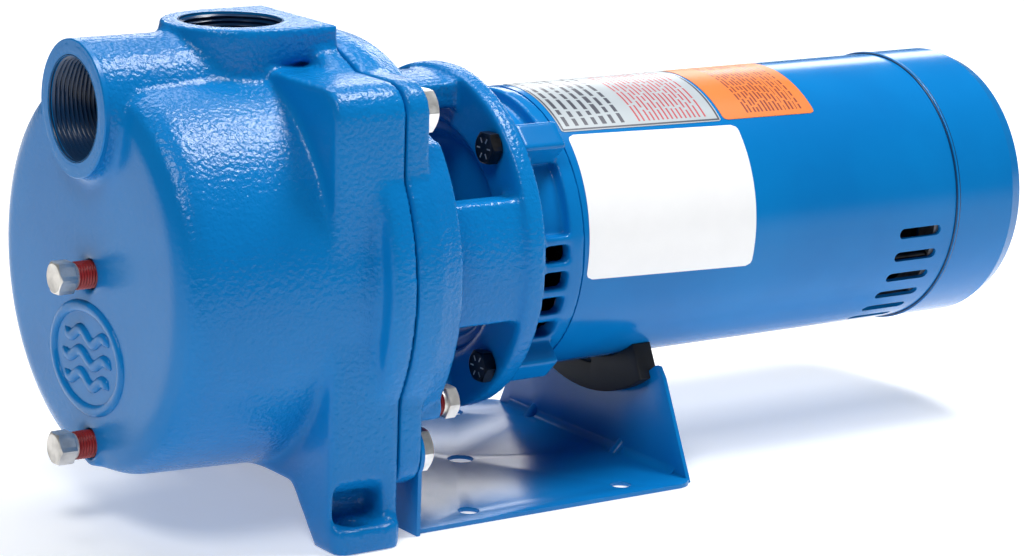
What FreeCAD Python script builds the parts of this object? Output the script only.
"""Shallow well jet pump with a 56 frame electric motor, in millimetres.

Frame: the origin is the centre of the foot bracket's four holes, on the surface the pump stands on.
+X runs along the shaft from the pump casing to the motor, +Z is up, and the object is symmetric
about the plane y = 0 apart from its plugs, labels and wiring.
"""
import FreeCAD, Part
import math
import os
from types import SimpleNamespace

import Sketcher

Vector = FreeCAD.Vector
Rotation = FreeCAD.Rotation

# Driving dimensions: alias, value, what it is. Names ending in _x are stations along the shaft.
DIMENSIONS = [
    ("shaft_rise", 118, "shaft centre above the standing surface"),
    ("suction_x", -215, "face of the suction port"),
    ("face_x", -207, "flat front face of the casing"),
    ("block_x", -133.5, "front of the casing's squared rear block"),
    ("disc_x", -110, "front of the casing's round flange"),
    ("joint_x", -97.5, "casing face that the gasket seals"),
    ("gasket_gap", 1.5, "gasket thickness"),
    ("adapter_ear_x", -84.5, "rear of the adapter's bolt ears"),
    ("adapter_body_x", -69, "rear of the adapter's round body"),
    ("motor_flange_x", -21.6, "front of the adapter's motor flange"),
    ("bell_x", -11.5, "motor mounting face"),
    ("shell_x", 21, "front edge of the motor shell"),
    ("cover_x", 256.5, "seam between the motor shell and the rear cover"),
    ("cover_end_x", 306, "outer face of the rear cover"),
    ("front_r", 93.5, "barrel radius at the casing's front"),
    ("rear_r", 97, "barrel radius at the casing's rear"),
    ("corner_r", 12, "rounding of the casing's front edge"),
    ("cast_wall", 7.5, "wall of the iron castings"),
    ("flange_r", 107, "round casing flange"),
    ("bolt_offset", 79.5, "casing bolts, sideways and up from the shaft"),
    ("ear_r", 14.5, "rounding of the bolt ears"),
    ("casing_bolt_flats", 19.05, "1/2 inch bolt head across flats"),
    ("port_rise", 77, "suction port above the shaft"),
    ("port_boss_r", 31.7, "pipe boss radius"),
    ("pipe_r", 24.1, "root radius of the 1 1/2 inch pipe threads"),
    ("thread_depth", 24, "length of the threaded ports"),
    ("duct_r", 20, "cored passage behind each threaded port"),
    ("pad_rise", 112.6, "discharge pad above the shaft"),
    ("outlet_x", -134.3, "discharge port axis"),
    ("plug_r", 6.7, "root radius of the 1/4 inch pipe threads"),
    ("plug_flats", 14.3, "plug hexagon across flats"),
    ("drain_drop", 80, "casing drain plug below the shaft"),
    ("web_r", 81.3, "outside of the adapter's webs"),
    ("motor_flange_r", 84.5, "adapter flange at the motor"),
    ("rabbet_r", 57.15, "motor rabbet, 4 1/2 inch"),
    ("motor_bolt_r", 74.6, "motor bolt circle radius, 5 7/8 inch"),
    ("shell_r", 69.8, "motor shell radius"),
    ("shell_wall", 2, "motor shell sheet"),
    ("cover_r", 70.4, "rear cover radius"),
    ("cover_sheet", 1.2, "rear cover sheet"),
    ("stack_front_x", 60, "front of the stator and rotor laminations"),
    ("stack_length", 90, "length of the laminations"),
    ("rotor_r", 37.4, "rotor radius"),
    ("air_gap", 0.4, "gap between rotor and stator"),
    ("shaft_r", 7.94, "pump end of the shaft, 5/8 inch"),
    ("bearing_bore_r", 8.5, "bearing bore, 17 mm"),
    ("bearing_outer_r", 20, "bearing outside, 40 mm"),
    ("bearing_width", 12, "bearing width"),
    ("front_bearing_x", -8, "front of the front bearing"),
    ("rear_bearing_x", 240, "front of the rear bearing"),
    ("impeller_r", 58, "impeller radius"),
    ("impeller_x", -104, "rear face of the impeller's back shroud"),
    ("vane_x", -132, "front of the guide vane"),
    ("vane_screw_r", 75, "guide vane screw circle radius"),
    ("seal_x", -85.5, "running face of the shaft seal"),
    ("divider_x", -180, "front of the casing's inner wall"),
    ("venturi_length", 54, "venturi tube"),
    ("governor_x", 256.5, "front of the governor"),
    ("bracket_front_x", -84.5, "front of the bracket's bolted flange"),
    ("bracket_rear_x", 81, "rear of the bracket's saddle flange"),
    ("bracket_half", 88, "half of the bracket's width"),
    ("bracket_sheet", 2, "bracket sheet"),
    ("bracket_holes_x", 44.5, "half spacing of the bracket holes along the shaft"),
    ("bracket_holes_y", 74, "half spacing of the bracket holes across"),
    ("bracket_hole_r", 5.2, "bracket hole radius"),
    ("saddle_r", 84, "saddle cut-out radius"),
    ("foot_x", -119, "casing foot holes"),
    ("foot_y", 89, "casing foot holes, sideways from the shaft"),
    ("foot_hole_r", 5.3, "casing foot hole radius"),
    ("foot_height", 12, "casing foot thickness"),
    ("side_plug_y", -76, "adapter drain plug, sideways from the shaft"),
    ("side_plug_z", -60, "adapter drain plug, from the shaft"),
    ("seat_step", 20, "nozzle seat behind the casing's front face"),
    ("nozzle_ring_r", 6.1, "nozzle seal ring, to the middle of its section"),
    ("nozzle_cord_r", 0.85, "nozzle seal ring section"),
    ("venturi_ring_r", 11.5, "venturi seal ring, to the middle of its section"),
    ("venturi_cord_r", 1.25, "venturi seal ring section"),
    ("spring_r", 11, "seal spring, to the middle of its wire"),
    ("seal_head_width", 5.1, "seal head and its running clearance"),
    ("lug_root_r", 60, "inner end of the front bell's bolt lugs"),
    ("lug_r", 82, "outer end of the front bell's bolt lugs"),
    ("lug_width", 15, "width of the front bell's bolt lugs"),
    ("lug_length", 24.5, "front bell's bolt lugs along the shaft"),
    ("pocket_floor_r", 64.5, "floor of the pockets in the front bell"),
    ("vent_width", 14, "length of the front bell's vents along the shaft"),
    ("vent_pitch", 13, "spacing of the front bell's vents"),
    ("slot_r", 2.8, "half width of the shell's slots"),
    ("slot_flat", 22, "straight length of the shell's slots"),
    ("slot_edge", 12, "rear end of the slots' straight part, ahead of the seam"),
    ("cover_screw_y", 46, "cover screws, sideways from the shaft"),
    ("ball_circle_r", 14.25, "circle of the bearing balls' centres"),
    ("ball_r", 3.35, "bearing ball radius"),
    ("capacitor_rise", 42, "start capacitor above the shaft"),
    ("capacitor_x", 282.5, "start capacitor's axis along the shaft"),
    ("cradle_length", 11, "rubber cradle along the shaft"),
    ("cradle_lip", 6.5, "rubber cradle ahead of the saddle flange"),
    ("cradle_wall", 4, "rubber between the saddle edge and the cradle's outside"),
    ("dart_leg", 6.4, "height and depth of the darts in the rear bend"),
    ("dart_r", 3, "rounding of the darts' backs"),
]

SLOTS_PER_SIDE = 6
SLOT_FIRST_DEG = -8
SLOT_STEP_DEG = -10.8
VENTS_PER_SIDE = 4
BALLS = 8
DART_PLACES_Y = (50, -26)

# Labels: name, front end, length, low and high edge in degrees upwards from the -Y side, tilt in degrees.
LABELS = [
    ("blank_label", 24.1, 101.1, -12, 48.5, 2),
    ("data_label", 24.6, 95.3, 50.4, 98, 1.5),
    ("warning_label", 121.6, 57.4, 49.4, 98, 1),
]


# ---------------------------------------------------------------- sizes that keep their expression

class Size:
    """A number together with the spreadsheet expression that it comes from."""

    def __init__(self, text, value):
        self.text = text
        self.value = value

    def __add__(self, other):
        return combined(self, "+", other, self.value + size_of(other).value)

    def __radd__(self, other):
        return size_of(other) + self

    def __sub__(self, other):
        return combined(self, "-", other, self.value - size_of(other).value)

    def __rsub__(self, other):
        return size_of(other) - self

    def __mul__(self, other):
        return combined(self, "*", other, self.value * size_of(other).value)

    def __rmul__(self, other):
        return size_of(other) * self

    def __neg__(self):
        return 0 - self


def size_of(thing):
    """The Size of a plain number, or the Size itself."""
    if isinstance(thing, Size):
        return thing
    text = "%.10g" % thing
    return Size("(%s)" % text if thing < 0 else text, float(thing))


def combined(first, sign, second, value):
    return Size("(%s %s %s)" % (first.text, sign, size_of(second).text), value)


def make_sheet(doc):
    """Spreadsheet of the driving dimensions, and the same as Size values by name."""
    sheet = doc.addObject("Spreadsheet::Sheet", "Sizes")
    sizes = {}
    for row, (alias, value, note) in enumerate(DIMENSIONS, start=1):
        sheet.set("A%d" % row, alias)
        sheet.set("B%d" % row, str(value))
        sheet.setAlias("B%d" % row, alias)
        sheet.set("C%d" % row, note)
        sizes[alias] = Size("Sizes." + alias, float(value))
    return SimpleNamespace(**sizes)


DOC = FreeCAD.newDocument("jet_pump")
S = make_sheet(DOC)
DOC.recompute()


# ---------------------------------------------------------------- building blocks

ALONG = {
    "x": Rotation(Vector(0, 1, 0), 90),
    "-x": Rotation(Vector(0, 1, 0), -90),
    "y": Rotation(Vector(1, 0, 0), -90),
    "-y": Rotation(Vector(1, 0, 0), 90),
    "z": Rotation(),
    "-z": Rotation(Vector(1, 0, 0), 180),
}


def bind(obj, prop, thing):
    """Set a property from a number, or tie it to the spreadsheet."""
    if isinstance(thing, Size):
        obj.setExpression(prop, thing.text)
    else:
        setattr(obj, prop, thing)


def place(obj, at, turn):
    """Put an object at a point given in sizes, turned by a fixed rotation."""
    values = [size_of(part).value for part in at]
    obj.Placement = FreeCAD.Placement(Vector(*values), turn)
    for axis, part in zip("xyz", at):
        if isinstance(part, Size):
            obj.setExpression("Placement.Base." + axis, part.text)


def rod(radius, length, at, along="x", label="rod"):
    """Round bar that starts at a point."""
    obj = DOC.addObject("Part::Cylinder", label)
    bind(obj, "Radius", radius)
    bind(obj, "Height", length)
    place(obj, at, ALONG[along])
    return obj


def cone(first_r, second_r, length, at, along="x", label="cone"):
    obj = DOC.addObject("Part::Cone", label)
    bind(obj, "Radius1", first_r)
    bind(obj, "Radius2", second_r)
    bind(obj, "Height", length)
    place(obj, at, ALONG[along])
    return obj


def block(length, width, height, at, label="block", turn=Rotation()):
    """Box from its low corner."""
    obj = DOC.addObject("Part::Box", label)
    bind(obj, "Length", length)
    bind(obj, "Width", width)
    bind(obj, "Height", height)
    place(obj, at, turn)
    return obj


def hexagon(flats, height, at, along="x", label="hexagon"):
    """Hexagonal bar with a corner towards -Y where it runs along X."""
    obj = DOC.addObject("Part::Prism", label)
    obj.Polygon = 6
    bind(obj, "Circumradius", flats * (1 / math.sqrt(3)))
    bind(obj, "Height", height)
    turn = ALONG[along].multiply(Rotation(Vector(0, 0, 1), 30 if along in ("x", "-x") else 0))
    place(obj, at, turn)
    return obj


def donut(ring_r, section_r, at, label="donut"):
    """Round-section ring about the X direction."""
    obj = DOC.addObject("Part::Torus", label)
    bind(obj, "Radius1", ring_r)
    bind(obj, "Radius2", section_r)
    place(obj, at, ALONG["x"])
    return obj


def fused(parts, label="fused"):
    obj = DOC.addObject("Part::MultiFuse", label)
    obj.Shapes = parts
    obj.Refine = True
    return obj


def shared(parts, label="shared"):
    obj = DOC.addObject("Part::MultiCommon", label)
    obj.Shapes = parts
    return obj


def cut(base, tools, label="cut"):
    """The base without the tools."""
    obj = DOC.addObject("Part::Cut", label)
    obj.Base = base
    obj.Tool = tools[0] if len(tools) == 1 else fused(tools)
    return obj


def group(parts, label):
    """Separate solids under one name."""
    obj = DOC.addObject("Part::Compound", label)
    obj.Links = parts
    return obj


def tube(outer_r, inner_r, length, at, along="x", label="tube"):
    return cut(rod(outer_r, length, at, along), [rod(inner_r, length, at, along)], label)


def drawn(body, plane, corners):
    """Closed outline of straight lines in a body's origin plane, each corner tied to the sheet."""
    sketch = body.newObject("Sketcher::SketchObject", "outline")
    origin = [f for f in body.Origin.OriginFeatures if f.Role == plane][0]
    sketch.AttachmentSupport = (origin, [""])
    sketch.MapMode = "FlatFace"
    points = [Vector(size_of(a).value, size_of(b).value, 0) for a, b in corners]
    count = len(points)
    for i in range(count):
        sketch.addGeometry(Part.LineSegment(points[i], points[(i + 1) % count]))
    for i in range(count):
        sketch.addConstraint(Sketcher.Constraint("Coincident", i, 2, (i + 1) % count, 1))
    for i, corner in enumerate(corners):
        for kind, axis, part in (("DistanceX", -2, corner[0]), ("DistanceY", -1, corner[1])):
            size = size_of(part)
            if size.value == 0:
                sketch.addConstraint(Sketcher.Constraint("PointOnObject", i, 1, axis))
                continue
            index = sketch.addConstraint(Sketcher.Constraint(kind, -1, 1, i, 1, size.value))
            if isinstance(part, Size):
                sketch.setExpression("Constraints[%d]" % index, size.text)
    return sketch


def turned(outline, at, label="turned"):
    """Solid of revolution about X; the outline is (station, radius) pairs from its own start."""
    body = DOC.addObject("PartDesign::Body", label)
    sketch = drawn(body, "XY_Plane", outline)
    revolution = body.newObject("PartDesign::Revolution", "revolution")
    revolution.Profile = (sketch, [""])
    revolution.ReferenceAxis = (sketch, ["H_Axis"])
    revolution.Angle = 360
    place(body, at, Rotation())
    return body


def plate(outline, depth, at, label="plate", plane="YZ_Plane"):
    """Flat piece padded from an outline, along +X for the YZ plane and +Z for the XY plane."""
    body = DOC.addObject("PartDesign::Body", label)
    sketch = drawn(body, plane, outline)
    pad = body.newObject("PartDesign::Pad", "pad")
    pad.Profile = (sketch, [""])
    bind(pad, "Length", depth)
    place(body, at, Rotation())
    return body


def rounded(base, radius, choose, label="rounded"):
    """The base with the chosen edges rounded."""
    DOC.recompute()
    edges = [i for i, edge in enumerate(base.Shape.Edges, start=1) if choose(edge)]
    obj = DOC.addObject("Part::Fillet", label)
    obj.Base = base
    obj.Edges = [(i, radius, radius) for i in edges]
    return obj


def freeform(shape, label):
    """A shape made with Part's own functions, already in its place."""
    obj = DOC.addObject("Part::Feature", label)
    obj.Shape = shape
    return obj


def around(count, first=0.0):
    """Evenly spaced angles in radians."""
    return [math.radians(first) + 2 * math.pi * i / count for i in range(count)]


def on_shaft(x, y=0, z=0):
    """A point given from the shaft axis."""
    return (x, y, S.shaft_rise + z)


def spoke(x, length, inner_r, depth, width, angle):
    """Box that stands outwards from the shaft at an angle, centred on its own width."""
    outwards, aside = round(math.cos(angle), 12), round(math.sin(angle), 12)
    inner_r, half = size_of(inner_r), size_of(width) * 0.5
    obj = block(length, depth, width, (0, 0, 0), "spoke")
    place(obj, on_shaft(x, inner_r * outwards + half * aside, inner_r * aside - half * outwards),
          Rotation(Vector(1, 0, 0), math.degrees(angle)))
    return obj


def is_along_x(edge):
    """True for a straight edge that runs along the shaft."""
    if edge.Curve.TypeId != "Part::GeomLine":
        return False
    return abs(edge.Curve.Direction.x) > 0.999


# ---------------------------------------------------------------- pump end

def four_corners(offset):
    """Sideways and upward signs of the four casing bolts, as offsets from the shaft."""
    return [(side * offset, up * offset) for side in (-1, 1) for up in (-1, 1)]


def squared_flange(start_x, length):
    """Rounded square that carries the four bolt ears."""
    reach = S.bolt_offset + S.ear_r
    square = block(length, reach * 2, reach * 2, on_shaft(start_x, -reach, -reach))
    return rounded(square, 14.5, is_along_x)


def casing_outside():
    """Barrel, round flange, bolt ears, pipe boss, discharge pad, drain boss and legs, all solid."""
    length = S.joint_x - S.face_x
    facet = S.corner_r * (1 - math.sqrt(0.5))
    outline = [(0, 0), (0, S.front_r - S.corner_r), (facet, S.front_r - facet), (S.corner_r, S.front_r),
               (length, S.rear_r), (length, 0)]
    barrel = turned(outline, on_shaft(S.face_x))
    disc = rod(S.flange_r, S.joint_x - S.disc_x, on_shaft(S.disc_x))
    disc = rounded(disc, 3, lambda edge: edge.CenterOfMass.x < S.disc_x.value + 1)
    ears = squared_flange(S.block_x, S.joint_x - S.block_x)
    pipe = rod(S.port_boss_r, S.joint_x - S.suction_x - 4, on_shaft(S.suction_x, 0, S.port_rise))
    pad = rod(33, 30, on_shaft(S.outlet_x, 0, S.pad_rise - 30), "z")
    tail = block(S.joint_x - S.outlet_x, 68, 16, on_shaft(S.outlet_x, -34, S.pad_rise - 16))
    drain_boss = rod(11, 8, on_shaft(S.face_x, 0, -S.drain_drop))
    legs = [casing_leg(side) for side in (-1, 1)]
    return fused([barrel, disc, ears, pipe, pad, tail, drain_boss] + legs)


def casing_leg(side):
    """Leg and foot on one side, with the pocket that gives room for the foot bolt."""
    outline = [(side * 60, S.shaft_rise - 40), (side * 94, S.shaft_rise - 40), (side * 94, S.foot_height),
               (side * 101, S.foot_height), (side * 101, 0), (side * 78, 0), (side * 56, 26)]
    leg = plate(outline, S.joint_x - S.block_x, (S.block_x, 0, 0))
    leg = rounded(leg, 7, lambda edge: is_upright(edge) and abs(edge.CenterOfMass.y) > 99)
    pocket = block(26, 20, 20, (S.block_x + 2.5, 77 if side > 0 else -97, S.foot_height))
    hole = rod(S.foot_hole_r, S.foot_height, (S.foot_x, S.foot_y * side, 0), "z")
    return cut(leg, [pocket, hole])


def is_upright(edge):
    """True for a straight vertical edge."""
    if edge.Curve.TypeId != "Part::GeomLine":
        return False
    return abs(edge.Curve.Direction.z) > 0.999


def pump_casing():
    """Cast iron casing: suction chamber in front, pressure chamber behind the inner wall."""
    wall = S.cast_wall
    length = S.joint_x - S.face_x
    inside = turned([(wall, 0), (wall, S.front_r - S.corner_r - 2), (S.corner_r + 2, S.front_r - wall),
                     (length + 1, S.rear_r - wall), (length + 1, 0)], on_shaft(S.face_x))
    duct = rod(S.duct_r, S.divider_x - S.face_x - wall, on_shaft(S.face_x + wall, 0, S.port_rise))
    hollow = fused([inside, duct])
    divider = rod(S.rear_r, 6, on_shaft(S.divider_x))
    sleeve = rod(S.pipe_r + 6, S.thread_depth, on_shaft(S.suction_x, 0, S.port_rise))
    riser = rod(11, 60, on_shaft(S.face_x + 13, 0, -50), "z")
    nozzle_boss = rod(11, 22, on_shaft(S.face_x + 2))
    feed_boss = rod(11, 20, on_shaft(S.face_x + 12, 0, -46))
    inner_iron = shared([fused([divider, sleeve, riser, nozzle_boss, feed_boss]), hollow])
    outer_skin = cut(casing_outside(), [hollow])
    holes = [
        rod(S.pipe_r, S.thread_depth, on_shaft(S.suction_x, 0, S.port_rise)),
        rod(S.pipe_r, S.thread_depth, on_shaft(S.outlet_x, 0, S.pad_rise - S.thread_depth), "z"),
        rod(S.duct_r, 44, on_shaft(S.outlet_x, 0, S.pad_rise - 46), "z"),
        rod(S.plug_r, 11, on_shaft(S.face_x)),
        rod(S.plug_r, 14, on_shaft(S.face_x, 0, -S.drain_drop)),
        rod(5.5, 14, on_shaft(S.face_x + 10)),
        rod(7, 4, on_shaft(S.face_x + 20)),
        rod(6, 44, on_shaft(S.face_x + 13, 0, -46), "z"),
        rod(6, 24, on_shaft(S.face_x + 13, 0, -46)),
        rod(14, 8, on_shaft(S.divider_x - 1)),
    ]
    for side, up in four_corners(S.bolt_offset):
        holes.append(rod(6.35, 26, on_shaft(S.joint_x, side, up), "-x"))
    return cut(fused([outer_skin, inner_iron]), holes, "pump_casing")


def pipe_plug(label, tip, along, thread, head):
    """Hex head plug for a 1/4 inch pipe thread; the tip is the inner end of its thread."""
    x, y, z = tip
    step = 1 if along == "x" else -1
    neck_length = 2
    shank = rod(S.plug_r - 0.05, thread, (x, y, z), along)
    neck = rod(S.plug_r - 1, neck_length, (x + step * thread, y, z), along)
    cap = hexagon(S.plug_flats, head, (x + step * (thread + neck_length), y, z), along)
    return fused([shank, neck, cap], label)


def pipe_plugs():
    """Two plugs that point forwards out of the casing, and one that points at the motor."""
    thread, head = 12.5, 8.5
    inner = S.face_x + 5.5
    side_tip = on_shaft(S.adapter_body_x - 5, S.side_plug_y, S.side_plug_z)
    return [
        pipe_plug("nozzle_plug", on_shaft(inner), "-x", thread, head),
        pipe_plug("casing_drain_plug", on_shaft(inner, 0, -S.drain_drop), "-x", thread, head),
        pipe_plug("adapter_drain_plug", side_tip, "x", 9, 6),
    ]


def casing_gasket():
    return tube(102, 90.5, S.gasket_gap, on_shaft(S.joint_x), label="casing_gasket")


def jet_parts():
    """Nozzle and venturi tube on the shaft line, with their seal rings."""
    seat = S.face_x + S.seat_step
    nozzle_ring = donut(S.nozzle_ring_r, S.nozzle_cord_r, on_shaft(seat + 2), "nozzle_seal_ring")
    nozzle_body = turned([(0, 3.4), (0, 6.9), (4, 6.9), (4, 8.5), (8, 8.5), (16, 4.6), (16, 2.6), (4, 3.4)],
                         on_shaft(seat), "nozzle_body")
    nozzle_groove = donut(S.nozzle_ring_r, S.nozzle_cord_r, on_shaft(seat + 2))
    nozzle = cut(nozzle_body, [nozzle_groove], "jet_nozzle")
    length = S.venturi_length
    ring_place = on_shaft(S.divider_x + length - 4)
    venturi_ring = donut(S.venturi_ring_r, S.venturi_cord_r, ring_place, "venturi_seal_ring")
    venturi_outline = [(0, 9), (0, 13.9), (9, 13.9), (9, 12), (length, 12), (length, 9.5), (30, 5.2),
                       (16, 5.2)]
    venturi_body = turned(venturi_outline, on_shaft(S.divider_x), "venturi_body")
    venturi_groove = donut(S.venturi_ring_r, S.venturi_cord_r, ring_place)
    venturi = cut(venturi_body, [venturi_groove], "venturi_tube")
    return [nozzle, nozzle_ring, venturi, venturi_ring]


def guide_vane():
    """Cup around the impeller that turns its outflow into the casing."""
    depth = S.joint_x + S.gasket_gap - S.vane_x
    outline = [(0, 12.8), (0, 24), (7, 24), (7, 70), (depth - 8, 70), (depth - 8, 80), (depth, 80),
               (depth, 62), (11, 62), (11, 19.5), (6, 19.5), (6, 12.8)]
    cup = turned(outline, on_shaft(S.vane_x), "cup")
    ports = [spoke(S.vane_x + 12, 13, 55, 20, 16, angle) for angle in around(6, 15)]
    holes = [rod(2.6, 12, on_shaft(S.vane_x + depth - 10, y, z)) for y, z in vane_screw_places()]
    return cut(cup, ports + holes, "guide_vane")


def vane_screw_places():
    radius = S.vane_screw_r.value
    return [(radius * math.cos(angle), radius * math.sin(angle)) for angle in around(3, 90)]


def guide_vane_screws():
    """Three screws that hold the guide vane to the adapter."""
    under_head = S.joint_x + S.gasket_gap - 8
    screws = []
    for y, z in vane_screw_places():
        head = rod(4.2, 3, on_shaft(under_head - 3, y, z))
        shank = rod(2.5, 16, on_shaft(under_head - 1, y, z))
        screws.append(fused([head, shank]))
    return group(screws, "guide_vane_screws")


def impeller_blade(angle, width):
    """One backward-curved blade between the shrouds, standing on the plane x = 0."""
    hub_r, rim_r, thick = 18.0, S.impeller_r.value - 1.0, 2.4
    steps = 8
    outer, inner = [], []
    for i in range(steps + 1):
        share = i / steps
        radius = hub_r + (rim_r - hub_r) * share
        sweep = angle - math.radians(75) * share
        half = thick / (2 * radius)
        outer.append(Vector(0, radius * math.cos(sweep + half), radius * math.sin(sweep + half)))
        inner.append(Vector(0, radius * math.cos(sweep - half), radius * math.sin(sweep - half)))
    first, second = Part.BSplineCurve(), Part.BSplineCurve()
    first.interpolate(outer)
    second.interpolate(inner)
    ends = [Part.makeLine(outer[0], inner[0]), Part.makeLine(inner[-1], outer[-1])]
    wire = Part.Wire([first.toShape(), ends[1].reversed(), second.toShape(), ends[0]])
    return Part.Face(wire).extrude(Vector(width, 0, 0))


def impeller():
    """Closed impeller with six blades, screwed on the shaft."""
    width = 9.0
    start = S.impeller_x - 3 - width - 2.5
    front = turned([(0, 15.5), (0, 19), (5, 20), (5, S.impeller_r), (7.5, S.impeller_r), (7.5, 15.5)],
                   on_shaft(start - 5), "front_shroud")
    back = turned([(0, 5.6), (0, 12), (9, 16), (9.5, S.impeller_r), (12.5, S.impeller_r), (12.5, 13),
                   (16, 13), (16, 5.6)], on_shaft(start + 2), "hub")
    blades = Part.makeCompound([impeller_blade(a, width + 0.4) for a in around(6)])
    blades.translate(Vector(start.value + 2.3, 0, S.shaft_rise.value))
    return fused([front, back, freeform(blades, "blades")], "impeller")


def seal_parts():
    """Mechanical seal: fixed ceramic seat in the adapter, spring-loaded head on the shaft."""
    seat = tube(14, 8.6, 7, on_shaft(S.seal_x), label="seal_seat")
    seat_room = [rod(14, 7, on_shaft(S.seal_x)), rod(8.6, 10, on_shaft(S.seal_x))]
    cup = cut(rod(17, 9.5, on_shaft(S.seal_x)), seat_room, "seal_seat_cup")
    head = tube(12.5, S.shaft_r, 5, on_shaft(S.seal_x - S.seal_head_width), label="seal_head")
    return [seat, cup, head, seal_spring()]


def seal_spring():
    """Spring between the impeller's hub and the seal head, as closed rings joined by short bars."""
    wire_r = 0.8
    turns = 4
    start = S.impeller_x + 3.5 + wire_r
    step = (S.seal_x - S.seal_head_width - wire_r - start) * (1 / (turns - 1))
    rings = [donut(S.spring_r, wire_r, on_shaft(start + step * i)) for i in range(turns)]
    bars = []
    for i in range(turns - 1):
        y = S.spring_r if i % 2 == 0 else -S.spring_r
        bars.append(rod(wire_r * 0.9, step, on_shaft(start + step * i, y)))
    return fused(rings + bars, "seal_spring")


def motor_adapter():
    """Cast iron adapter: seal plate, four webs with windows between them, and the motor flange."""
    front_x = S.joint_x + S.gasket_gap
    body_length = S.adapter_body_x - front_x
    flange_length = S.adapter_ear_x - front_x
    seat_depth = S.seal_x + 9.5 - front_x
    outline = [(0, 17.05), (0, S.flange_r), (flange_length, S.flange_r), (body_length, S.flange_r - 5),
               (body_length, 84), (13, 84), (11, 34), (27, 30), (27, 9.5), (seat_depth, 9.5),
               (seat_depth, 17.05)]
    plate_body = turned(outline, on_shaft(front_x), "seal_plate")
    ears = cut(squared_flange(front_x, flange_length), [rod(80, 60, on_shaft(front_x - 10))])
    plug_boss = rod(11.5, body_length - 2, on_shaft(front_x + 2, S.side_plug_y, S.side_plug_z))
    flange = tube(S.motor_flange_r, S.rabbet_r, S.bell_x - S.motor_flange_x, on_shaft(S.motor_flange_x))
    tools = [rod(S.plug_r, 18, on_shaft(S.adapter_body_x - 17, S.side_plug_y, S.side_plug_z))]
    for side, up in four_corners(S.bolt_offset):
        tools.append(rod(15.5, 40, on_shaft(S.adapter_ear_x, side, up)))
        tools.append(rod(6.75, 40, on_shaft(front_x - 5, side, up)))
    tools += [rod(2.55, 10, on_shaft(front_x, y, z)) for y, z in vane_screw_places()]
    tools += [rod(5, 14, on_shaft(S.motor_flange_x - 1, y, z)) for y, z in motor_bolt_places()]
    return cut(fused([plate_body, ears, flange, plug_boss, adapter_webs()]), tools, "motor_adapter")


def adapter_webs():
    """Webs above, below and on both sides of the open middle."""
    web_thick, side_height, side_low, upright_width = 12, 58, -26, 42
    start = S.adapter_body_x - 18
    length = S.motor_flange_x - start + 3
    arc = tube(S.web_r, S.web_r - web_thick, length, on_shaft(start))
    sides = block(length, S.web_r * 2, side_height, on_shaft(start, -S.web_r, side_low))
    uprights = block(length, upright_width, S.web_r * 2, on_shaft(start, -upright_width / 2, -S.web_r))
    return shared([arc, fused([sides, uprights])])


def motor_bolt_places():
    reach = S.motor_bolt_r.value * math.sqrt(0.5)
    return [(side * reach, up * reach) for side in (-1, 1) for up in (-1, 1)]


def hex_bolt(radius, length, flats, head, under_head):
    """Bolt along -X or +X from the underside of its head; the sign of length gives the direction."""
    x, y, z = under_head
    along = "x" if length > 0 else "-x"
    back = "-x" if length > 0 else "x"
    washer_face = rod(flats * 0.48, head, (x, y, z), back)
    shank = rod(radius, abs(length), (x, y, z), along)
    return fused([shank, hexagon(flats, head, (x, y, z), back), washer_face])


def casing_bolts():
    """Four bolts from the rear; the lower two also hold the foot bracket."""
    bolts = []
    for side, up in four_corners(S.bolt_offset):
        behind = S.adapter_ear_x if up.value > 0 else S.adapter_ear_x + S.bracket_sheet
        bolts.append(hex_bolt(6.3, -38, S.casing_bolt_flats, 7.9, on_shaft(behind, side, up)))
    return group(bolts, "casing_bolts")


def motor_bolts():
    """Four 3/8 inch bolts through the adapter's flange into the front bell."""
    thread_r, length, flats, head = 4.7, 26, 14.3, 6.2
    bolts = []
    for y, z in motor_bolt_places():
        bolts.append(hex_bolt(thread_r, length, flats, head, on_shaft(S.motor_flange_x, y, z)))
    return group(bolts, "motor_bolts")


def water_slinger():
    return turned([(0, S.shaft_r), (0, 12), (4, 12), (6, 19), (8, 19), (8, S.shaft_r)],
                  on_shaft(S.adapter_body_x + 12), "water_slinger")


# ---------------------------------------------------------------- motor

def front_end_bell():
    """Cast aluminium bell: bearing hub, four bolt lugs, vents between ribs on both sides."""
    depth = S.shell_x - S.bell_x
    spigot_r = S.shell_r - S.shell_wall - 0.2
    outline = [(0, 26), (0, 56.9), (3.5, 56.9), (3.5, 74), (7, 74), (9, S.shell_r), (depth, S.shell_r),
               (depth, spigot_r), (depth + 9, spigot_r), (depth + 9, 62), (8, 62), (8, 26)]
    bell = turned(outline, on_shaft(S.bell_x), "bell")
    rabbet = cut(rod(S.rabbet_r - 0.2, 4, on_shaft(S.bell_x - 4)), [rod(50, 4, on_shaft(S.bell_x - 4))])
    hub = rod(25, 22, on_shaft(S.bell_x + 0.5))
    spider = tube(40, 20, 8, on_shaft(S.bell_x))
    lugs = [bell_lug(y, z) for y, z in motor_bolt_places()]
    full = fused([bell, rabbet, hub, spider] + lugs)
    tools = [rod(S.bearing_outer_r, S.bearing_width + 0.5, on_shaft(S.front_bearing_x)),
             rod(11, 40, on_shaft(S.bell_x - 5))]
    tools += [rod(4.75, 25, on_shaft(S.bell_x - 1, y, z)) for y, z in motor_bolt_places()]
    tools += [rod(2.6, 14, on_shaft(S.shell_x - 3, y, z)) for y, z in through_bolt_places()]
    tools += bell_vents()
    return cut(full, tools, "front_end_bell")


def bell_lug(y, z):
    """Boss that takes one motor bolt."""
    return spoke(S.bell_x, S.lug_length, S.lug_root_r, S.lug_r - S.lug_root_r, S.lug_width,
                 math.atan2(z, y))


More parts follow.
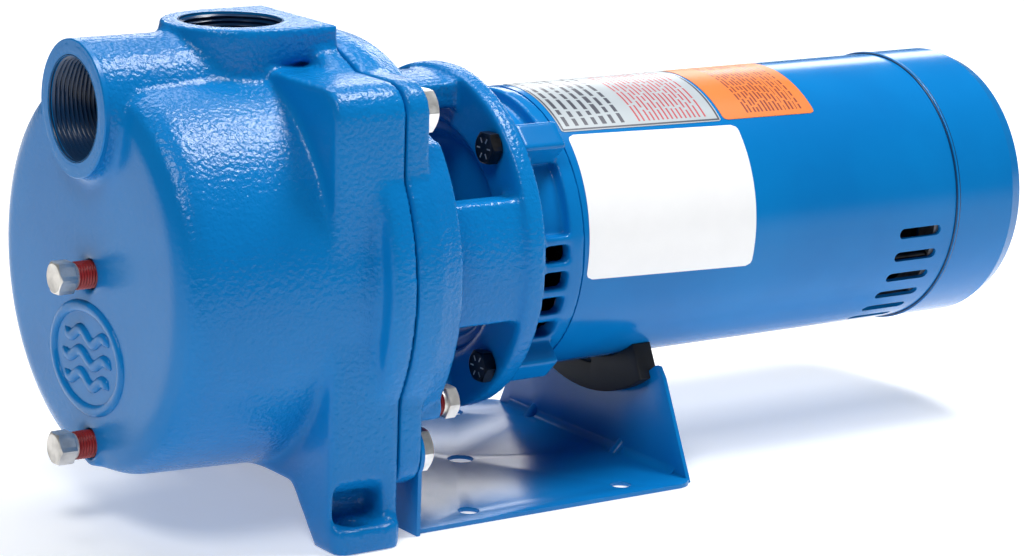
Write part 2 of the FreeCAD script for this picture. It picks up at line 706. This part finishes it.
def bell_vents():
    """Slots between the side ribs, and shallow pockets from lug to lug elsewhere."""
    tools = []
    start_x = S.bell_x + 10
    for side in (-1, 1):
        vent_y = 40 if side > 0 else -80
        for i in range(VENTS_PER_SIDE):
            tools.append(block(S.vent_width, 40, 8.5, on_shaft(start_x, vent_y, -2.6 - S.vent_pitch * i)))
        tools.append(bell_pocket(start_x, 46 if side > 0 else -80, 34, 10, 33))
    for pocket_z in (44, -84):
        tools.append(bell_pocket(start_x, -42, 84, pocket_z, 40))
    return tools


def bell_pocket(start_x, y, width, z, height):
    """Cutter for the part of the bell's rim inside a window, down to the pocket's floor."""
    ring = tube(80, S.pocket_floor_r, S.vent_width, on_shaft(start_x))
    return shared([ring, block(S.vent_width, width, height, on_shaft(start_x, y, z))])


def through_bolt_places():
    return [(64.2 * math.cos(a), 64.2 * math.sin(a)) for a in around(4, 22)]


def motor_shell():
    """Rolled steel shell with six obround vents low on each side, near its rear edge."""
    length = S.cover_x - S.shell_x
    shell = tube(S.shell_r, S.shell_r - S.shell_wall, length, on_shaft(S.shell_x))
    tools = []
    for side in (-1, 1):
        for i in range(SLOTS_PER_SIDE):
            tools.append(vent_slot(side, math.radians(SLOT_FIRST_DEG + SLOT_STEP_DEG * i)))
    return cut(shell, tools, "motor_shell")


def vent_slot(side, angle):
    """Obround cutter that points outwards from the shaft."""
    start_r, reach = 55, 25
    outward = Vector(0, side * math.cos(angle), math.sin(angle))
    turn = Rotation(Vector(0, 0, 1), outward)
    rear_x = S.cover_x - S.slot_edge
    front_x = rear_x - S.slot_flat
    parts = []
    for x in (front_x, rear_x):
        end = rod(S.slot_r, reach, (0, 0, 0))
        place(end, on_shaft(x, outward.y * start_r, outward.z * start_r), turn)
        parts.append(end)
    flat = block(S.slot_flat, S.slot_r * 2, reach, (0, 0, 0))
    upright = Rotation(Vector(1, 0, 0), math.degrees(math.atan2(-outward.y, outward.z)))
    corner = upright.multVec(Vector(0, -S.slot_r.value, start_r))
    place(flat, on_shaft(front_x, corner.y, corner.z), upright)
    return fused(parts + [flat])


def rear_end_bell():
    """Cast bell in the shell's rear end: bearing hub and four spokes."""
    start = S.rear_bearing_x - 2
    outer = S.shell_r - S.shell_wall - 0.2
    spoke_length, spoke_width, spoke_thick = 120, 16, 6
    rim = tube(outer, 57, 14, on_shaft(S.cover_x - 12))
    hub = rod(26, 17.2, on_shaft(start))
    spokes = []
    for across, up in ((spoke_length, spoke_width), (spoke_width, spoke_length)):
        spokes.append(block(spoke_thick, across, up, on_shaft(S.cover_x - 8, -across / 2, -up / 2)))
    bosses = fused([rod(5.5, 14, on_shaft(S.cover_x - 12, y, z)) for y, z in through_bolt_places()])
    bosses = shared([bosses, rod(outer, 30, on_shaft(S.cover_x - 14))])
    tools = [rod(S.bearing_outer_r, S.bearing_width + 3.2, on_shaft(start)), rod(12, 40, on_shaft(start - 1))]
    tools += [rod(2.6, 20, on_shaft(S.cover_x - 14, y, z)) for y, z in through_bolt_places()]
    tools += [rod(2.25, 14, on_shaft(S.cover_x - 12, y, 0)) for y in (-S.cover_screw_y, S.cover_screw_y)]
    return cut(fused([rim, hub, bosses] + spokes), tools, "rear_end_bell")


def through_bolts():
    """Four long studs that clamp the bells to the shell."""
    bolts = []
    for y, z in through_bolt_places():
        stud = rod(2.4, S.cover_x - S.shell_x + 8, on_shaft(S.shell_x - 2, y, z))
        nut = rod(4.2, 4, on_shaft(S.cover_x + 2, y, z))
        bolts.append(fused([stud, nut]))
    return group(bolts, "through_bolts")


def rear_cover():
    """Drawn steel cover over the switch, capacitor and wiring."""
    depth = S.cover_end_x - S.cover_x
    sheet = S.cover_sheet
    inner = S.cover_r - sheet
    cup = turned([(0, inner), (0, S.cover_r), (depth - 11, S.cover_r), (depth - 3.2, S.cover_r - 3.2),
                  (depth, S.cover_r - 11), (depth, 0), (depth - sheet, 0), (depth - sheet, inner - 10.5),
                  (depth - 4, inner - 3), (depth - 11, inner)], on_shaft(S.cover_x), "cup")
    tools = [rod(2.4, 20, on_shaft(S.cover_end_x - 10, y, 0)) for y in (-S.cover_screw_y, S.cover_screw_y)]
    tools.append(rod(11.1, 20, on_shaft(S.cover_x + 22, 60, -28), "y"))
    return cut(cup, tools, "rear_cover")


def cover_screws():
    """Two screws through the rear cover into posts on the rear bell."""
    screws = []
    for y in (-S.cover_screw_y, S.cover_screw_y):
        head = rod(4.5, 3, on_shaft(S.cover_end_x, y, 0))
        shank = rod(2.2, 52, on_shaft(S.cover_end_x - 52, y, 0))
        screws.append(fused([head, shank]))
    return group(screws, "cover_screws")


def bearing(name, start_x):
    """Deep-groove ball bearing: outer ring, inner ring, and the balls in their cage."""
    width = S.bearing_width
    middle = start_x + width * 0.5
    groove_r = S.ball_r + 0.07
    groove = donut(S.ball_circle_r, groove_r, on_shaft(middle))
    outer = cut(tube(S.bearing_outer_r, 16.6, width, on_shaft(start_x)), [groove], name + "_outer_ring")
    groove = donut(S.ball_circle_r, groove_r, on_shaft(middle))
    inner = cut(tube(11.9, S.bearing_bore_r, width, on_shaft(start_x)), [groove], name + "_inner_ring")
    balls = []
    for angle in around(BALLS):
        ball = DOC.addObject("Part::Sphere", "ball")
        bind(ball, "Radius", S.ball_r)
        y, z = S.ball_circle_r * math.cos(angle), S.ball_circle_r * math.sin(angle)
        place(ball, on_shaft(middle, y, z), Rotation())
        balls.append(ball)
    cage = tube(15.6, 12.9, 2.4, on_shaft(middle - 1.2))
    return [outer, inner, fused(balls + [cage], name + "_balls")]


def motor_shaft():
    """Stepped shaft from the impeller thread to the governor seat."""
    start = S.impeller_x - 14
    reach = S.impeller_x + 3.5 - start
    front = S.front_bearing_x - start
    core = front + S.bearing_width
    core_end = S.rear_bearing_x - start
    end = S.cover_x + 26 - start
    outline = [(0, 0), (0, 5.55), (reach, 5.55), (reach, S.shaft_r), (front, S.shaft_r),
               (front, S.bearing_bore_r), (core, S.bearing_bore_r), (core, 11), (core_end, 11),
               (core_end, S.bearing_bore_r), (core_end + S.bearing_width, S.bearing_bore_r),
               (core_end + S.bearing_width, 7.5), (end, 7.5), (end, 0)]
    return turned(outline, on_shaft(start), "motor_shaft")


def rotor_core():
    """Cast rotor with plain end rings."""
    length = S.stack_length
    rotor = turned([(-6, 11), (-6, 34), (0, 34), (0, S.rotor_r), (length, S.rotor_r), (length, 34),
                    (length + 6, 34), (length + 6, 11)], on_shaft(S.stack_front_x), "rotor_core")
    return rotor


def cooling_fan():
    """Moulded fan that draws air through the shell's slots and out of the bell."""
    start = S.shell_x + 6
    hub = tube(18, 11, 10, on_shaft(start))
    disc = tube(52, 17, 2, on_shaft(start + 8))
    blades = [spoke(start, 8.5, 17, 34, 2, angle) for angle in around(9)]
    return fused([hub, disc] + blades, "cooling_fan")


def stator_core():
    """Lamination stack with winding slots and grooves for the through bolts."""
    outer = S.shell_r - S.shell_wall
    stack = tube(outer, S.rotor_r + S.air_gap, S.stack_length, on_shaft(S.stack_front_x))
    tools = [spoke(S.stack_front_x, S.stack_length, 41, 15, 3.4, angle) for angle in around(24)]
    tools += [rod(3.2, S.stack_length, on_shaft(S.stack_front_x, y, z)) for y, z in through_bolt_places()]
    return cut(stack, tools, "stator_core")


def stator_windings():
    """Copper end turns at both ends, joined by the conductors in the slots."""
    end_turn = [(0, 44), (0, 54), (4, 58), (12.5, 58), (16.5, 55), (16.5, 42), (12, 40.5), (4, 41)]
    starts = (S.stack_front_x - 17, S.stack_front_x + S.stack_length + 0.5)
    pieces = [turned(end_turn, on_shaft(start)) for start in starts]
    pieces += [spoke(S.stack_front_x - 2, S.stack_length + 4, 42.5, 12, 2.8, angle) for angle in around(24)]
    return fused(pieces, "stator_windings")


def wave_washer():
    """Spring washer that preloads the rear bearing."""
    start = S.rear_bearing_x + S.bearing_width + 0.1
    return tube(19.5, 15, 0.8, on_shaft(start), label="bearing_wave_washer")


def start_gear():
    """Governor and start switch behind the rear bearing, with the capacitor and terminal board."""
    carrier = tube(22, 7.52, 3, on_shaft(S.governor_x))
    arms = [block(7, 8, 12, on_shaft(S.governor_x + 3, y, -6)) for y in (-21, 13)]
    carrier = fused([carrier] + arms, "governor_carrier")
    collar = tube(12, 7.56, 5, on_shaft(S.governor_x + 14), label="governor_collar")
    board = cut(block(3, 60, 38, on_shaft(S.cover_x + 6, -30, -50)), [rod(26, 8, on_shaft(S.cover_x + 4))])
    contact = block(12, 12, 10, on_shaft(S.cover_x + 9, -6, -42))
    switch = fused([board, contact], "start_switch")
    axis_x, rise = S.capacitor_x, S.capacitor_rise
    capacitor = rod(17, 66, on_shaft(axis_x, -33, rise), "y", "start_capacitor")
    strap = rod(18.5, 12, on_shaft(axis_x, -6, rise), "y")
    strap = cut(strap, [rod(17.05, 14, on_shaft(axis_x, -7, rise), "y")], "capacitor_clamp")
    terminals = block(4, 24, 34, on_shaft(S.cover_x + 10, 26, -44), "terminal_plate")
    posts = [rod(2.5, 7, on_shaft(S.cover_x + 13, 38, z)) for z in (-38, -28, -18)]
    return [carrier, collar, switch, capacitor, strap, fused([terminals] + posts, "terminal_board")]


def label_sheet(name, start_x, length, from_deg, to_deg, tilt_deg):
    """Thin curved sticker on the shell. A tilt lowers its rear end."""
    spare, thick, reach = 6, 0.25, 200
    skin = tube(S.shell_r + thick, S.shell_r, length + spare * 2, on_shaft(start_x - spare))
    first, second = math.radians(from_deg), math.radians(to_deg)
    middle = (first + second) / 2
    centre = Vector(0, 0, 0)
    corners = [centre]
    for angle in (first, middle, second):
        corners.append(Vector(0, -reach * math.cos(angle), reach * math.sin(angle)))
    wedge = Part.Face(Part.makePolygon(corners + [centre])).extrude(Vector(length, 0, 0))
    outward = Vector(0, -math.cos(middle), math.sin(middle))
    wedge.rotate(Vector(length / 2, 0, 0), outward, -tilt_deg)
    wedge.translate(Vector(start_x, 0, S.shaft_rise.value))
    return shared([skin, freeform(wedge, "wedge")], name)


# ---------------------------------------------------------------- bracket and cushion

def foot_bracket():
    """Bent sheet bracket: bolted front flange, base, and a rear saddle for the motor."""
    sheet = S.bracket_sheet
    half = S.bracket_half
    base_length = S.bracket_rear_x - S.bracket_front_x
    base = block(base_length, half * 2, sheet, (S.bracket_front_x, -half, 0))
    base = rounded(base, 11, lambda edge: is_upright(edge) and edge.CenterOfMass.x > 0)
    front_half, front_rise = half + 3, 51.5
    front = block(sheet, front_half * 2, front_rise, (S.bracket_front_x, -front_half, 0))
    front = rounded(front, 10, lambda edge: is_along_x(edge) and edge.CenterOfMass.z > 20)
    front = cut(front, [rod(S.flange_r + 0.6, 20, on_shaft(S.bracket_front_x - 5))])
    saddle = [(-82.5, 0), (82.5, 0), (59.5, 47.5), (55.5, 52.5), (-55.5, 52.5), (-59.5, 47.5)]
    rear = plate(saddle, sheet, (S.bracket_rear_x - sheet, 0, 0))
    rear = cut(rear, [rod(S.saddle_r, 20, on_shaft(S.bracket_rear_x - 10))])
    sides = (-S.bolt_offset, S.bolt_offset)
    lugs = [rod(14, sheet, on_shaft(S.bracket_front_x, side, -S.bolt_offset)) for side in sides]
    bends = [bend_fillet(S.bracket_rear_x - sheet, -1, 72), bend_fillet(S.bracket_front_x + sheet, 1, 84)]
    darts = [bend_dart(y) for y in DART_PLACES_Y]
    tools = [rod(6.5, 8, (0, 0, -1), "z")]
    for x in (-S.bracket_holes_x, S.bracket_holes_x):
        for y in (-S.bracket_holes_y, S.bracket_holes_y):
            tools.append(rod(S.bracket_hole_r, 8, (x, y, -1), "z"))
    tools += [rod(6.75, 20, on_shaft(S.bracket_front_x - 5, side, -S.bolt_offset)) for side in sides]
    return cut(fused([base, front, rear] + lugs + bends + darts), tools, "foot_bracket")


def bend_fillet(x, way, half):
    """Inside rounding of a bend in the sheet."""
    radius = 4
    corner = block(radius, half * 2, radius, (x if way > 0 else x - radius, -half, S.bracket_sheet))
    centre = x + way * radius
    return cut(corner, [rod(radius, half * 2, (centre, -half, S.bracket_sheet + radius), "y")])


def bend_dart(y):
    """Small round-backed dart at 45 degrees across the bend between the base and the saddle flange."""
    bite = 0.5
    corner_x = S.bracket_rear_x - S.bracket_sheet
    inset = S.dart_r * math.sqrt(0.5)
    back = rod(S.dart_r, S.dart_leg * 2, (0, 0, 0), "z")
    start = (corner_x - S.dart_leg + inset - 2, y, S.bracket_sheet - inset - 2)
    place(back, start, Rotation(Vector(0, 1, 0), 45))
    corner = (corner_x - S.dart_leg, y - S.dart_r - 1, S.bracket_sheet - bite)
    room = block(S.dart_leg + bite, S.dart_r * 2 + 2, S.dart_leg + bite, corner)
    return shared([back, room])


def motor_cushion():
    """Moulded rubber cradle that grips the saddle edge and carries the shell."""
    length = S.cradle_length
    edge_x = S.bracket_rear_x - S.bracket_sheet
    start = edge_x - S.cradle_lip
    wall = S.cradle_wall
    ring = tube(S.saddle_r + wall, S.shell_r + 0.05, length, on_shaft(start))
    keep = plate([(-58.2, 28), (58.2, 28), (37.9, 70), (-37.9, 70)], length, (start, 0, 0))
    gap_y, gap_width, below = -7.5, 25.1, 90
    gap = block(length, gap_width, 30, on_shaft(start, gap_y, -below))
    relief = shared([rod(S.shell_r + wall, length, on_shaft(start)), gap])
    groove = tube(S.saddle_r + 10, S.saddle_r, S.bracket_sheet, on_shaft(edge_x))
    return cut(shared([ring, keep]), [relief, groove], "motor_cushion")


# ---------------------------------------------------------------- assembly

def build():
    """Every sub-part, each with the label that names its file."""
    parts = [pump_casing(), casing_gasket(), impeller(), motor_adapter(), casing_bolts(), motor_bolts(),
             guide_vane_screws(), water_slinger(), front_end_bell(), motor_shell(), rear_end_bell(),
             through_bolts(), rear_cover(), cover_screws(), motor_shaft(), rotor_core(), cooling_fan(),
             stator_core(), stator_windings(), wave_washer(), foot_bracket(), motor_cushion()]
    parts += pipe_plugs() + jet_parts() + [guide_vane()] + seal_parts() + start_gear()
    parts += [label_sheet(*row) for row in LABELS]
    parts += bearing("front_bearing", S.front_bearing_x) + bearing("rear_bearing", S.rear_bearing_x)
    return parts


def check(parts):
    """Stop if any object failed or any sub-part is empty or broken."""
    for obj in DOC.Objects:
        for word in ("Invalid", "Error"):
            if word in obj.State:
                raise RuntimeError("%s (%s) is %s" % (obj.Name, obj.Label, word))
    for obj in parts:
        if obj.Label[-1].isdigit():
            raise RuntimeError("%s is a label used twice" % obj.Label)
        shape = obj.Shape
        if shape.isNull() or not shape.isValid() or not shape.Solids:
            raise RuntimeError("%s has no valid solid" % obj.Label)


def write(parts):
    os.makedirs("parts", exist_ok=True)
    for obj in parts:
        solids = obj.Shape.Solids
        shape = solids[0] if len(solids) == 1 else Part.makeCompound(solids)
        shape.exportStep(os.path.join("parts", obj.Label + ".step"))


PARTS = build()
DOC.recompute()
check(PARTS)
write(PARTS)
